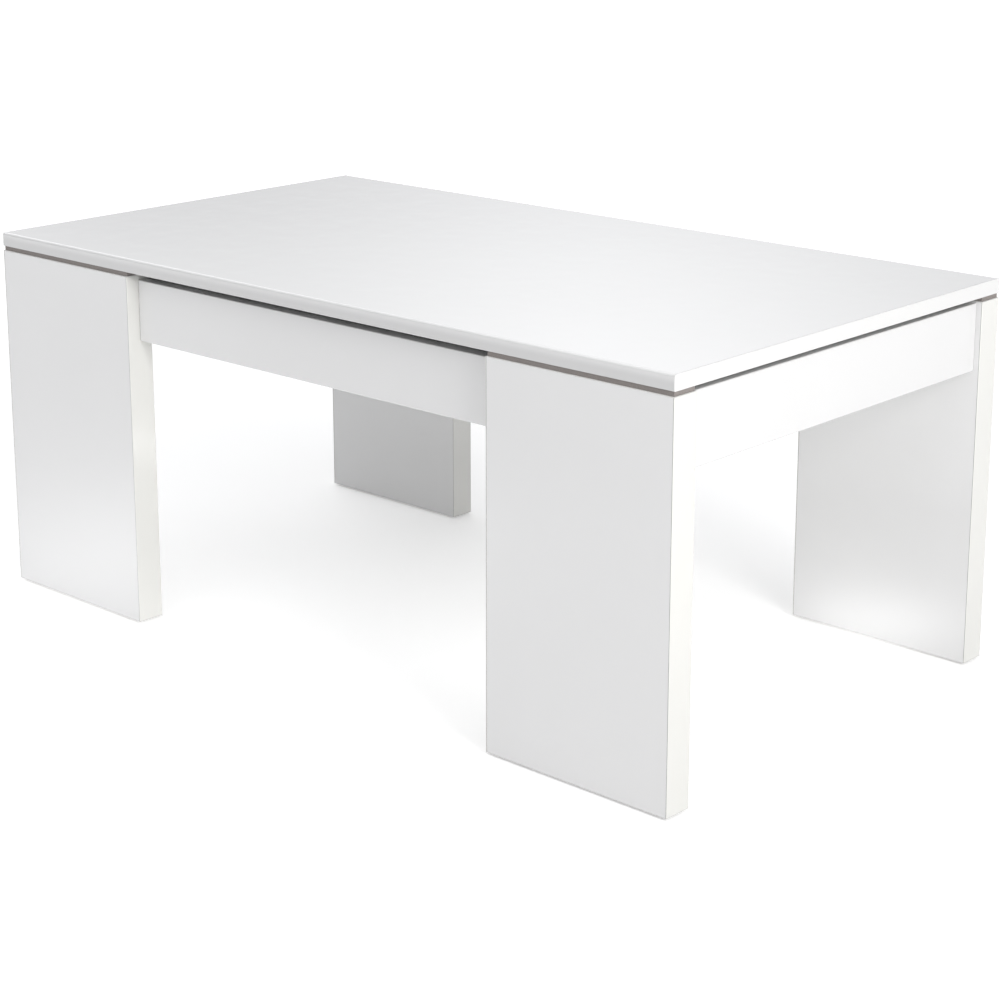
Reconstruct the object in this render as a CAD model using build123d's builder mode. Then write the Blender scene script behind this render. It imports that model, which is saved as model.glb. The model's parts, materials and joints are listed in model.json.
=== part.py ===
from build123d import *
import os
from math import cos, radians, sin

# Lift top coffee table, closed, in millimetres.
# Origin: centre of the footprint on the floor. +X along the table, +Z up, -Y towards the user.

os.makedirs("parts", exist_ok=True)

# ---------------------------------------------------------------- overall size
LENGTH = 1000.0
WIDTH = 560.0
HEIGHT = 430.0

# ---------------------------------------------------------------- boards
TOP_T = 16.0
TOP_ROUND = 2.0
BAND_T = 1.0
SHADOW_GAP = 5.0
LEG_W = 229.0
LEG_T = 33.0
BOARD_T = 16.0
APRON_H = 76.0
LONG_APRON_DROP = 6.0
SIDE_APRON_DROP = 2.0
LONG_RECESS = 16.0
SIDE_RECESS = 7.0
FLOOR_RAISE = 2.0
SOFT_EDGE = 1.0
CRISP_EDGE = 0.5

TOP_Z = HEIGHT - TOP_T
LEG_TOP = TOP_Z - SHADOW_GAP
APRON_Z = LEG_TOP - APRON_H
LEG_INNER_Y = WIDTH / 2 - LEG_T
JOINT_X = LENGTH / 2 - LEG_W
LONG_APRON_Y = WIDTH / 2 - LONG_RECESS - BOARD_T / 2
SIDE_APRON_X = LENGTH / 2 - SIDE_RECESS - BOARD_T / 2
BOX_X = SIDE_APRON_X - BOARD_T / 2
BOX_Y = LONG_APRON_Y - BOARD_T / 2
FLOOR_Z = APRON_Z + FLOOR_RAISE
FLOOR_TOP = FLOOR_Z + BOARD_T
LEG_X = LENGTH / 2 - LEG_W / 2
LEG_Y = WIDTH / 2 - LEG_T / 2

# ---------------------------------------------------------------- fittings
SLIP = 0.05
DOWEL_R = 4.0
DOWEL_HALF = 15.0
DOWEL_SPREAD = 21.0
CAM_R = 7.4
CAM_DEPTH = 12.5
CAM_SETBACK = 24.0
BOLT_THREAD_R = 3.5
BOLT_THREAD_L = 11.0
BOLT_SHANK_R = 2.75
BOLT_HEAD_R = 3.4
CAP_R = 8.5
CAP_T = 1.2
GLIDE_R = 9.0
GLIDE_H = 2.0
GLIDE_SETBACK = 28.0
REST_SETBACK = 1.5

# ---------------------------------------------------------------- lift mechanism
ARM_L = 160.0
ARM_W = 16.0
ARM_T = 3.0
CLOSED_DEG = 10.0
OPEN_DEG = 120.5
PIVOT_Z = 368.0
FRONT_PIVOT_Y = -100.0
REAR_PIVOT_Y = 0.0
PLATE_T = 3.0
PLATE_Y = (-150.0, 30.0)
PLATE_TOP = 403.0
FOOT_W = 37.0
PLATE_X = BOX_X - PLATE_T
ARM_GAP = 2.5
ARM_X = PLATE_X - ARM_GAP - ARM_T
BUSH_FLANGE = 1.0
BUSH_R = 5.0
BUSH_FLANGE_R = 8.0
PIN_R = 4.0
PIN_CLEAR = 0.06
OPEN_PIVOT_CLEAR = 0.25
PIN_HEAD_R = 7.0
PIN_HEAD_T = 2.3
HEAD_GAP = 0.2
RAIL_T = 2.0
RAIL_X = ARM_X + ARM_T + BUSH_FLANGE
RAIL_DROP = 28.0
RAIL_FLANGE_W = 30.0
RAIL_Y = (-120.0, 185.0)
RAIL_WEB_Y = (40.0, 175.0)
TUBE_R = 6.0
TUBE_WALL = 1.2
TUBE_AT = 140.0
SPRING_IN_R = 5.0
SPRING_OUT_R = 8.0
SPRING_X = (447.0, 467.0)
LONG_PIN_END = 446.0
STUD_R = 2.5
STUD_AT = 30.0
STUD_END = 450.0
STOP_R = 4.0
STOP_AT = 30.0
STOP_CLEAR = 0.3
SCREW_R = 1.9
SCREW_HEAD_R = 4.0
SCREW_L = 12.0

X_UP = Vector(1, 0, 0)
Z_UP = Vector(0, 0, 1)
SIDES = {"left": -1, "right": 1}


def arm_point(pivot_y, angle, along, across=0.0):
    """Y and Z of a point on an arm: along it from its base pivot, and across it."""
    a = radians(angle)
    y = pivot_y + along * cos(a) - across * sin(a)
    return y, PIVOT_Z + along * sin(a) + across * cos(a)


FRONT_TOP_Y, TOP_PIVOT_Z = arm_point(FRONT_PIVOT_Y, CLOSED_DEG, ARM_L)
REAR_TOP_Y = FRONT_TOP_Y + REAR_PIVOT_Y - FRONT_PIVOT_Y


def rod(start, direction, radius, length, mode=Mode.ADD):
    """A round bar, or a hole, from a start point along a direction."""
    with Locations(Plane(origin=start, z_dir=direction)):
        Cylinder(radius, length, align=(Align.CENTER, Align.CENTER, Align.MIN), mode=mode)


def block(low, high, mode=Mode.ADD):
    """A rectangular block between two corners."""
    size = Vector(*high) - Vector(*low)
    with Locations(Vector(*low) + size / 2):
        Box(size.X, size.Y, size.Z, mode=mode)


def across(side, x_from, x_to):
    """Start and signed run of a bar along X on one side of the table."""
    return side * x_from, Vector(side * (1 if x_to > x_from else -1), 0, 0), abs(x_to - x_from)


def side_rod(side, y, z, radius, x_from, x_to, mode=Mode.ADD):
    """A round bar or hole along X, between two distances from the table's middle."""
    start, direction, length = across(side, x_from, x_to)
    rod(Vector(start, y, z), direction, radius, length, mode)


def save(piece, name):
    """Label a finished piece and write it out."""
    piece.part.label = name
    export_step(piece.part, f"parts/{name}.step")


# ---------------------------------------------------------------- knock-down joints
# Each joint: a point on the meeting face at mid board, the direction into the board that
# carries the cam, and the direction out of the face that the cam is let into.
CORNERS = [(sx, sy) for sx in (-1, 1) for sy in (-1, 1)]
JOINT_Z = APRON_Z + APRON_H / 2
FLOOR_MID = FLOOR_Z + BOARD_T / 2
LEG_JOINTS = [
    (Vector(sx * JOINT_X, sy * LONG_APRON_Y, JOINT_Z), Vector(-sx, 0, 0), Vector(0, -sy, 0))
    for sx, sy in CORNERS
] + [
    (Vector(sx * SIDE_APRON_X, sy * LEG_INNER_Y, JOINT_Z), Vector(0, -sy, 0), Vector(-sx, 0, 0))
    for sx, sy in CORNERS
]
FLOOR_JOINTS = [
    (Vector(x, sy * BOX_Y, FLOOR_MID), Vector(0, -sy, 0), Vector(0, 0, -1))
    for x in (-200, 0, 200)
    for sy in (-1, 1)
] + [
    (Vector(sx * BOX_X, y, FLOOR_MID), Vector(-sx, 0, 0), Vector(0, 0, -1))
    for sx in (-1, 1)
    for y in (-190, 190)
]
CAM_JOINTS = LEG_JOINTS + FLOOR_JOINTS
DOWEL_POINTS = [
    (point + Z_UP * dz, inward)
    for point, inward, _ in LEG_JOINTS
    for dz in (-DOWEL_SPREAD, DOWEL_SPREAD)
]
WALL_SCREWS = [(-138, 394), (-60, 394), (-60, 361), (20, 394)]
FOOT_SCREWS = [(449, -138), (449, 20)]
RAIL_SCREWS = [(457, y) for y in (-106, -30, 76, 170)]
GLIDES = [
    (sx * (LEG_X + dx), sy * LEG_Y)
    for sx, sy in CORNERS
    for dx in (GLIDE_SETBACK - LEG_W / 2, LEG_W / 2 - GLIDE_SETBACK)
]

with BuildPart() as drillings:
    for point, inward, opening in CAM_JOINTS:
        rod(point, inward * -1, BOLT_THREAD_R, BOLT_THREAD_L)
        rod(point, inward, BOLT_HEAD_R + 0.4, CAM_SETBACK)
        pocket_floor = point + inward * CAM_SETBACK + opening * (BOARD_T / 2 - CAM_DEPTH)
        rod(pocket_floor, opening, CAM_R + 0.1, CAM_DEPTH)
    for point, inward in DOWEL_POINTS:
        rod(point - inward * (DOWEL_HALF + 0.5), inward, DOWEL_R + SLIP, 2 * DOWEL_HALF + 1)
    for side in SIDES.values():
        for y, z in WALL_SCREWS:
            side_rod(side, y, z, SCREW_R + SLIP, BOX_X, BOX_X + SCREW_L)
        for x, y in FOOT_SCREWS:
            rod(Vector(side * x, y, FLOOR_TOP - SCREW_L), Z_UP, SCREW_R + SLIP, SCREW_L)
        for x, y in RAIL_SCREWS:
            rod(Vector(side * x, y, TOP_Z), Z_UP, SCREW_R + SLIP, SCREW_L)
    for x, y in GLIDES:
        rod(Vector(x, y, GLIDE_H), Z_UP, 1 + SLIP, 12)

# ---------------------------------------------------------------- table top
top_profile = Plane.YZ.offset(-LENGTH / 2)
top_centre = (0, TOP_Z + TOP_T / 2)

with BuildPart() as table_top:
    with BuildSketch(top_profile.offset(BAND_T)):
        with Locations(top_centre):
            edge = Rectangle(WIDTH, TOP_T)
        fillet(edge.vertices().group_by(Axis.Z)[-1], TOP_ROUND)
        fillet(edge.vertices().group_by(Axis.Z)[0], SOFT_EDGE)
    extrude(amount=LENGTH - 2 * BAND_T)
    add(drillings.part, mode=Mode.SUBTRACT)
save(table_top, "table_top")

with BuildPart() as top_edge_bands:
    for start in (0, LENGTH - BAND_T):
        with BuildSketch(top_profile.offset(start)):
            with Locations(top_centre):
                edge = Rectangle(WIDTH, TOP_T)
            fillet(edge.vertices().group_by(Axis.Z)[-1], TOP_ROUND)
            fillet(edge.vertices().group_by(Axis.Z)[0], SOFT_EDGE)
        extrude(amount=BAND_T)
    ends = top_edge_bands.faces().filter_by(Axis.X).group_by(Axis.X)
    chamfer(ends[0].edges() + ends[-1].edges(), 0.4)
save(top_edge_bands, "top_edge_bands")

# ---------------------------------------------------------------- legs and aprons
for depth_name, sy in (("front", -1), ("rear", 1)):
    for side_name, sx in SIDES.items():
        with BuildPart() as leg:
            with BuildSketch(Plane.XY.offset(GLIDE_H)):
                with Locations((sx * LEG_X, sy * LEG_Y)):
                    Rectangle(LEG_W, LEG_T)
            extrude(amount=LEG_TOP - GLIDE_H)
            fillet(leg.edges().filter_by(Axis.Z), SOFT_EDGE)
            add(drillings.part, mode=Mode.SUBTRACT)
        save(leg, f"leg_{depth_name}_{side_name}")

    with BuildPart() as long_apron:
        with BuildSketch(Plane.XY.offset(APRON_Z)):
            with Locations((0, sy * LONG_APRON_Y)):
                Rectangle(2 * JOINT_X, BOARD_T)
        extrude(amount=APRON_H - LONG_APRON_DROP)
        fillet(long_apron.edges().filter_by(Axis.X), SOFT_EDGE)
        add(drillings.part, mode=Mode.SUBTRACT)
    save(long_apron, f"apron_{depth_name}")

for side_name, sx in SIDES.items():
    with BuildPart() as side_apron:
        with BuildSketch(Plane.XY.offset(APRON_Z)):
            with Locations((sx * SIDE_APRON_X, 0)):
                Rectangle(BOARD_T, 2 * LEG_INNER_Y)
        extrude(amount=APRON_H - SIDE_APRON_DROP)
        fillet(side_apron.edges().filter_by(Axis.Y), SOFT_EDGE)
        add(drillings.part, mode=Mode.SUBTRACT)
    save(side_apron, f"apron_{side_name}")

with BuildPart() as storage_floor:
    with BuildSketch(Plane.XY.offset(FLOOR_Z)):
        Rectangle(2 * BOX_X, 2 * LEG_INNER_Y)
    extrude(amount=BOARD_T)
    fillet(storage_floor.edges().group_by(Axis.Z)[0], CRISP_EDGE)
    add(drillings.part, mode=Mode.SUBTRACT)
save(storage_floor, "storage_floor")

# ---------------------------------------------------------------- joint fittings
with BuildPart() as cam_locks:
    for point, inward, opening in CAM_JOINTS:
        centre = point + inward * CAM_SETBACK
        rod(centre + opening * (BOARD_T / 2 - CAM_DEPTH + 0.3), opening, CAM_R, CAM_DEPTH - 0.6)
        rod(centre - inward * (CAM_R + 1), inward, BOLT_HEAD_R + 0.4, CAM_R + 4, Mode.SUBTRACT)
        with Locations(Plane(origin=centre + opening * (BOARD_T / 2 - 0.3), z_dir=opening)):
            Box(9, 1.6, 3, mode=Mode.SUBTRACT)
            Box(1.6, 9, 3, mode=Mode.SUBTRACT)
save(cam_locks, "cam_locks")

with BuildPart() as cam_bolts:
    for point, inward, _ in CAM_JOINTS:
        rod(point - inward * (BOLT_THREAD_L - 0.5), inward, BOLT_THREAD_R - SLIP, BOLT_THREAD_L)
        rod(point, inward, BOLT_SHANK_R, CAM_SETBACK - 3)
        rod(point + inward * (CAM_SETBACK - 3), inward, BOLT_HEAD_R, 4)
save(cam_bolts, "cam_bolts")

with BuildPart() as cam_caps:
    for point, inward, opening in CAM_JOINTS:
        rod(point + inward * CAM_SETBACK + opening * (BOARD_T / 2), opening, CAP_R, CAP_T)
    chamfer(cam_caps.edges().filter_by(GeomType.CIRCLE), 0.3)
save(cam_caps, "cam_caps")

with BuildPart() as dowels:
    for point, inward in DOWEL_POINTS:
        rod(point - inward * DOWEL_HALF, inward, DOWEL_R, 2 * DOWEL_HALF)
    chamfer(dowels.edges().filter_by(GeomType.CIRCLE), 1)
save(dowels, "dowels")

with BuildPart() as leg_glides:
    for x, y in GLIDES:
        rod(Vector(x, y, 0), Z_UP, GLIDE_R, GLIDE_H)
    chamfer(leg_glides.edges().group_by(Axis.Z)[0], 0.6)
    for x, y in GLIDES:
        rod(Vector(x, y, 0), Z_UP, 1 + SLIP, GLIDE_H, Mode.SUBTRACT)
        rod(Vector(x, y, 0), Z_UP, 3.1, 1.1, Mode.SUBTRACT)
save(leg_glides, "leg_glides")

with BuildPart() as glide_nails:
    for x, y in GLIDES:
        rod(Vector(x, y, 0.3), Z_UP, 3, 0.8)
        rod(Vector(x, y, 1), Z_UP, 1, 12)
save(glide_nails, "glide_nails")

with BuildPart() as top_bumpers:
    for sx, sy in CORNERS:
        middle = Vector(sx * LEG_X, sy * LEG_Y, LEG_TOP)
        reach = Vector(LEG_W / 2 - REST_SETBACK, LEG_T / 2 - REST_SETBACK, 0)
        block(middle - reach, middle + reach + Vector(0, 0, SHADOW_GAP - 0.1))
    chamfer(top_bumpers.edges().group_by(Axis.Z)[-1], 0.4)
save(top_bumpers, "top_bumpers")

# ---------------------------------------------------------------- lift mechanism, fixed half
for side_name, side in SIDES.items():
    with BuildPart() as base_plate:
        plate_low, plate_high = FLOOR_TOP, PLATE_TOP
        x_low, x_high = sorted((side * PLATE_X, side * BOX_X))
        block((x_low, PLATE_Y[0], plate_low), (x_high, PLATE_Y[1], plate_high))
        fillet(base_plate.edges().filter_by(Axis.X).group_by(Axis.Z)[-1], 10)
        x_low, x_high = sorted((side * (BOX_X - FOOT_W), side * PLATE_X))
        block((x_low, PLATE_Y[0], plate_low), (x_high, PLATE_Y[1], plate_low + PLATE_T))
        far_corners = base_plate.edges().filter_by(Axis.Z).sort_by(Axis.X)[:: side][:2]
        fillet(far_corners, 8)
        for y in (FRONT_PIVOT_Y, REAR_PIVOT_Y):
            side_rod(side, y, PIVOT_Z, PIN_R, PLATE_X, BOX_X, Mode.SUBTRACT)
        stop_y, stop_z = arm_point(
            FRONT_PIVOT_Y, OPEN_DEG, STOP_AT, ARM_W / 2 + STOP_R + STOP_CLEAR
        )
        side_rod(side, stop_y, stop_z, 2.5, PLATE_X, BOX_X, Mode.SUBTRACT)
        for y, z in WALL_SCREWS:
            side_rod(side, y, z, SCREW_R + 0.3, PLATE_X, BOX_X, Mode.SUBTRACT)
            side_rod(side, y, z, SCREW_HEAD_R + 0.1, PLATE_X, PLATE_X + 1.6, Mode.SUBTRACT)
        for x, y in FOOT_SCREWS:
            rod(Vector(side * x, y, FLOOR_TOP), Z_UP, SCREW_R + 0.3, PLATE_T, Mode.SUBTRACT)
    save(base_plate, f"lift_base_{side_name}")

    with BuildPart() as spring:
        side_rod(side, FRONT_PIVOT_Y, PIVOT_Z, SPRING_OUT_R, *SPRING_X)
        side_rod(side, FRONT_PIVOT_Y, PIVOT_Z, SPRING_IN_R, *SPRING_X, Mode.SUBTRACT)
    save(spring, f"torsion_spring_{side_name}")

with BuildPart() as front_pivot_pins:
    for side in SIDES.values():
        side_rod(side, FRONT_PIVOT_Y, PIVOT_Z, PIN_R, LONG_PIN_END, BOX_X - SLIP)
        side_rod(side, FRONT_PIVOT_Y, PIVOT_Z, PIN_HEAD_R, LONG_PIN_END - 3, LONG_PIN_END)
save(front_pivot_pins, "front_pivot_pins")

with BuildPart() as rear_pivot_pins:
    for side in SIDES.values():
        side_rod(side, REAR_PIVOT_Y, PIVOT_Z, PIN_R, ARM_X - HEAD_GAP, BOX_X - SLIP)
        side_rod(
            side, REAR_PIVOT_Y, PIVOT_Z, PIN_HEAD_R, ARM_X - HEAD_GAP - PIN_HEAD_T, ARM_X - HEAD_GAP
        )
save(rear_pivot_pins, "rear_pivot_pins")

with BuildPart() as pivot_washers:
    washer_x = (ARM_X + ARM_T + BUSH_FLANGE + 0.1, PLATE_X)
    for side in SIDES.values():
        for y in (FRONT_PIVOT_Y, REAR_PIVOT_Y):
            side_rod(side, y, PIVOT_Z, BUSH_FLANGE_R, *washer_x)
            side_rod(side, y, PIVOT_Z, PIN_R + PIN_CLEAR, *washer_x, Mode.SUBTRACT)
save(pivot_washers, "pivot_washers")

with BuildPart() as open_stop_studs:
    for side in SIDES.values():
        side_rod(side, stop_y, stop_z, STOP_R, ARM_X, PLATE_X)
        side_rod(side, stop_y, stop_z, 2.5, PLATE_X, BOX_X - SLIP)
save(open_stop_studs, "open_stop_studs")

with BuildPart() as base_plate_screws:
    for side in SIDES.values():
        for y, z in WALL_SCREWS:
            side_rod(side, y, z, SCREW_R, PLATE_X + 1, BOX_X + SCREW_L - 0.5)
            side_rod(side, y, z, SCREW_HEAD_R, PLATE_X, PLATE_X + 1.6)
        for x, y in FOOT_SCREWS:
            screw_top = FLOOR_TOP + PLATE_T
            rod(Vector(side * x, y, FLOOR_TOP - SCREW_L + 0.5), Z_UP, SCREW_R, SCREW_L + PLATE_T)
            rod(Vector(side * x, y, screw_top), Z_UP, SCREW_HEAD_R, 1.8)
save(base_plate_screws, "base_plate_screws")


# ---------------------------------------------------------------- lift mechanism, arms
def arm(side, base_y, top_y):
    """A flat bar with round ends and two bush holes, from its base pivot to its top pivot."""
    bar = Plane(origin=(side * ARM_X, 0, 0), x_dir=(0, 1, 0), z_dir=(1, 0, 0))
    middle = ((base_y + top_y) / 2, (PIVOT_Z + TOP_PIVOT_Z) / 2)
    with BuildSketch(bar) as outline:
        with Locations(middle):
            SlotCenterToCenter(ARM_L, ARM_W, rotation=CLOSED_DEG)
        with Locations((base_y, PIVOT_Z), (top_y, TOP_PIVOT_Z)):
            Circle(BUSH_R, mode=Mode.SUBTRACT)
    extrude(outline.sketch, amount=side * ARM_T)


def bushes(side, places, open_top=False):
    """Flanged bushes in an arm: sleeves through the bar, flanges towards the wall."""
    far = ARM_X + ARM_T
    for number, (y, z) in enumerate(places):
        clearance = OPEN_PIVOT_CLEAR if open_top and number == 1 else PIN_CLEAR
        side_rod(side, y, z, BUSH_R, ARM_X, far)
        side_rod(side, y, z, BUSH_FLANGE_R, far, far + BUSH_FLANGE)
        side_rod(side, y, z, PIN_R + clearance, ARM_X, far + BUSH_FLANGE, Mode.SUBTRACT)


FRONT_PLACES = [(FRONT_PIVOT_Y, PIVOT_Z), (FRONT_TOP_Y, TOP_PIVOT_Z)]
REAR_PLACES = [(REAR_PIVOT_Y, PIVOT_Z), (REAR_TOP_Y, TOP_PIVOT_Z)]

for side_name, side in SIDES.items():
    with BuildPart() as front_arm:
        arm(side, FRONT_PIVOT_Y, FRONT_TOP_Y)
    save(front_arm, f"front_arm_{side_name}")

    with BuildPart() as rear_arm:
        arm(side, REAR_PIVOT_Y, REAR_TOP_Y)
    save(rear_arm, f"rear_arm_{side_name}")

    with BuildPart() as rear_bushes:
        bushes(side, REAR_PLACES, open_top=True)
    save(rear_bushes, f"rear_arm_bushes_{side_name}")

with BuildPart() as front_arm_bushes:
    for side in SIDES.values():
        bushes(side, FRONT_PLACES)
save(front_arm_bushes, "front_arm_bushes")

with BuildPart() as cross_tube:
    tube_y, tube_z = arm_point(FRONT_PIVOT_Y, CLOSED_DEG, TUBE_AT)
    rod(Vector(-ARM_X, tube_y, tube_z), X_UP, TUBE_R, 2 * ARM_X)
    rod(Vector(-ARM_X, tube_y, tube_z), X_UP, TUBE_R - TUBE_WALL, 2 * ARM_X, Mode.SUBTRACT)
save(cross_tube, "cross_tube")

with BuildPart() as arm_spring_studs:
    stud_y, stud_z = arm_point(FRONT_PIVOT_Y, CLOSED_DEG, STUD_AT, -STUD_R)
    for side in SIDES.values():
        side_rod(side, stud_y, stud_z, STUD_R, STUD_END, ARM_X)
        side_rod(side, stud_y, stud_z, STUD_R + 1.5, STUD_END - 1.5, STUD_END)
save(arm_spring_studs, "arm_spring_studs")

# ---------------------------------------------------------------- lift mechanism, top half
for side_name, side in SIDES.items():
    with BuildPart() as rail:
        x_low, x_high = sorted((side * RAIL_X, side * (RAIL_X + RAIL_T)))
        block((x_low, RAIL_WEB_Y[0], TOP_Z - RAIL_DROP), (x_high, RAIL_WEB_Y[1], TOP_Z))
        fillet(rail.edges().filter_by(Axis.X).group_by(Axis.Z)[0], 8)
        x_low, x_high = sorted((side * (RAIL_X + RAIL_T - RAIL_FLANGE_W), side * (RAIL_X + RAIL_T)))
        block((x_low, RAIL_Y[0], TOP_Z - RAIL_T), (x_high, RAIL_Y[1], TOP_Z))
        for y in (FRONT_TOP_Y, REAR_TOP_Y):
            side_rod(side, y, TOP_PIVOT_Z, PIN_R, RAIL_X, RAIL_X + RAIL_T, Mode.SUBTRACT)
        for x, y in RAIL_SCREWS:
            low = Vector(side * x, y, TOP_Z - RAIL_T)
            rod(low, Z_UP, SCREW_R + 0.3, RAIL_T, Mode.SUBTRACT)
    save(rail, f"top_rail_{side_name}")

with BuildPart() as rail_screws:
    for side in SIDES.values():
        for x, y in RAIL_SCREWS:
            head_z = TOP_Z - RAIL_T - 1.8
            rod(Vector(side * x, y, head_z), Z_UP, SCREW_HEAD_R, 1.8)
            rod(Vector(side * x, y, head_z + 1), Z_UP, SCREW_R, SCREW_L + 1)
save(rail_screws, "top_rail_screws")

for depth_name, pivot_y in (("front", FRONT_TOP_Y), ("rear", REAR_TOP_Y)):
    with BuildPart() as top_pins:
        for side in SIDES.values():
            head = ARM_X - HEAD_GAP
            tail = RAIL_X + RAIL_T
            side_rod(side, pivot_y, TOP_PIVOT_Z, PIN_R, head, tail)
            side_rod(side, pivot_y, TOP_PIVOT_Z, PIN_HEAD_R, head - PIN_HEAD_T, head)
            side_rod(side, pivot_y, TOP_PIVOT_Z, PIN_R + 1.5, tail, tail + 1.3)
    save(top_pins, f"top_pins_{depth_name}")
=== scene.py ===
import json
import math

import bmesh
import bpy
from mathutils import Matrix, Vector

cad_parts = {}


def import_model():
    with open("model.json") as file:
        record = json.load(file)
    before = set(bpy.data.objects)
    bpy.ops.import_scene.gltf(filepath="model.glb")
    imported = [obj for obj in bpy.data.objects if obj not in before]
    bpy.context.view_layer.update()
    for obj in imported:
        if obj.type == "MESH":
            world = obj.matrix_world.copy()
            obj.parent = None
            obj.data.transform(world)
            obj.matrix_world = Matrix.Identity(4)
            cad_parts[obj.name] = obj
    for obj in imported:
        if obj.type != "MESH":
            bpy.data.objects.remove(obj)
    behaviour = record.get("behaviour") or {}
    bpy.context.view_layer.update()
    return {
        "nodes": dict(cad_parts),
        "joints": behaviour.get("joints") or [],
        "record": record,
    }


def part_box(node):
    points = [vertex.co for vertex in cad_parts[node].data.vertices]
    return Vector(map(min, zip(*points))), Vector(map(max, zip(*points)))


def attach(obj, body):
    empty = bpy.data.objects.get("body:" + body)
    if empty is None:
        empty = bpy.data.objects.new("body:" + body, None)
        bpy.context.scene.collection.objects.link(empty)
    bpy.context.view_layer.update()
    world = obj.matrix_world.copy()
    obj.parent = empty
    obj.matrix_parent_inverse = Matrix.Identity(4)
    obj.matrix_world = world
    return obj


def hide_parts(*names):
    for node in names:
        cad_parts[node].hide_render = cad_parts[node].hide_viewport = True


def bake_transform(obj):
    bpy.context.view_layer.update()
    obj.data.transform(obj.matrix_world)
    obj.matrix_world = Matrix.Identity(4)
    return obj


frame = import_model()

# Lift top coffee table. Shapes are worked out in millimetres and finished in metres.
NODES = frame["nodes"]
SLOT_OF = {row["node"]: row["material_slot"] for row in frame["record"]["subparts"]}
PIVOTS = {joint["name"]: Vector(joint["pos_m"]) * 1000 for joint in frame["joints"]}
MM = 0.001
SIDES = {"left": -1, "right": 1}
X_AXIS, Z_AXIS = Vector((1, 0, 0)), Vector((0, 0, 1))


def box(node):
    """Lowest and highest corner of a CAD node, in millimetres."""
    corners = [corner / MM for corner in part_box(node)]
    low = Vector(min(corner[axis] for corner in corners) for axis in range(3))
    high = Vector(max(corner[axis] for corner in corners) for axis in range(3))
    return low, high


def solids(node):
    """Lowest and highest corner of each separate solid of a CAD node, in millimetres."""
    bm = bmesh.new()
    bm.from_mesh(NODES[node].data)
    bmesh.ops.remove_doubles(bm, verts=bm.verts, dist=1e-6)
    bm.verts.index_update()
    seen = set()
    found = []
    for first in bm.verts:
        if first.index in seen:
            continue
        seen.add(first.index)
        group, queue = [], [first]
        while queue:
            vert = queue.pop()
            group.append(vert.co / MM)
            for edge in vert.link_edges:
                other = edge.other_vert(vert)
                if other.index not in seen:
                    seen.add(other.index)
                    queue.append(other)
        low = Vector(min(co[axis] for co in group) for axis in range(3))
        high = Vector(max(co[axis] for co in group) for axis in range(3))
        found.append((low, high))
    bm.free()
    return sorted(found, key=lambda pair: tuple(round(v, 2) for v in pair[0]))


# ------------------------------------------------------------------ node helpers
NOISE_LOW, NOISE_HIGH = 0.3, 0.7  # nearly all of a noise lies between these


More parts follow.
